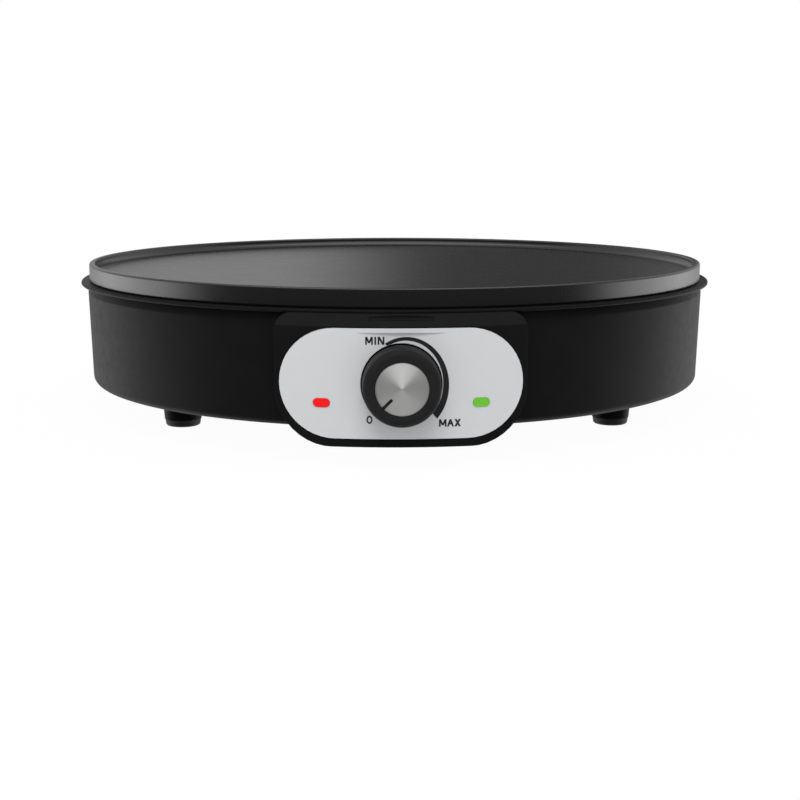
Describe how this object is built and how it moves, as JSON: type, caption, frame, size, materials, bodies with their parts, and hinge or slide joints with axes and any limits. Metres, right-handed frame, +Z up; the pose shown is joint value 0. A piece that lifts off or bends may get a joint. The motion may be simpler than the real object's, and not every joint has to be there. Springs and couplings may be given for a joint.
{
  "type": "electric crepe maker",
  "caption": "Electric crepe maker: a round rimmed griddle plate on a low tapered base with feet, and a front control housing with a dial knob and indicator lamps.",
  "frame": {"origin": "on the table top under the middle of the whole outline, midway between the knob's front and the ledge's rear edge", "axes": "+Z up out of the cooking surface, the control panel faces -Y and +X is to the right as it is seen from the front"},
  "size_m": [0.312, 0.331, 0.072],
  "materials": {
    "coated_plate": "cast, dark non-stick coating",
    "black_plastic": "fine satin moulding",
    "silver_fascia": "satin silver paint",
    "knob_plastic": "satin moulding",
    "brushed_cap": "brushed in rings",
    "red_lens": "clear red",
    "green_lens": "clear green",
    "rubber": "matte",
    "steel": "zinc plated",
    "element_sheath": "heat-darkened",
    "aluminised_sheet": "aluminised sheet",
    "ceramic": "unglazed",
    "brass": "plain",
    "white_nylon": "natural",
    "lamp_glass": "clear",
    "wire_sleeve": "silicone sleeve"
  },
  "bodies": {
    "base": {"cooking_plate": "coated_plate", "heating_element": "element_sheath", "element_seals": "ceramic", "element_tabs": "steel", "heat_shield": "aluminised_sheet", "collar_ring": "black_plastic", "base_housing": "black_plastic", "base_screws": "steel", "foot_pads": "rubber", "control_fascia": "silver_fascia", "fascia_push_nuts": "steel", "red_lens": "red_lens", "green_lens": "green_lens", "lamp_holders": "white_nylon", "neon_lamps": "lamp_glass", "thermostat_bush": "brass", "thermostat_nut": "steel", "thermostat_frame": "steel", "thermostat_bracket": "aluminised_sheet", "bracket_screws": "steel", "stack_washers": "ceramic", "stack_rivet": "steel", "contact_blades": "brass", "bimetal_strip": "steel", "thermal_fuse": "steel", "fuse_clip": "steel", "earth_tag": "steel", "tab_screws": "steel", "terminal_block": "ceramic", "terminal_screws": "brass", "cord_gland": "black_plastic", "gland_nut": "black_plastic", "wiring": "wire_sleeve"},
    "knob": {"knob_grip": "knob_plastic", "knob_cap": "brushed_cap", "knob_spring": "steel", "thermostat_spindle": "steel"},
    "adjuster": {"adjuster_pin": "ceramic"}
  },
  "joints": [
    {"name": "knob_turn", "type": "hinge", "parent": "base", "child": "knob", "pos_m": [0, -0.1655, 0.03445], "axis": [0, 1, 0], "range_deg": [0, 265]},
    {"name": "pin_slide", "type": "slide", "parent": "base", "child": "adjuster", "axis": [0, 1, 0], "range_m": [0, 0.00074]}
  ],
  "couplings": [
    {"joint": "pin_slide", "follows": "knob_turn", "m_per_rad": 0.00015915}
  ]
}
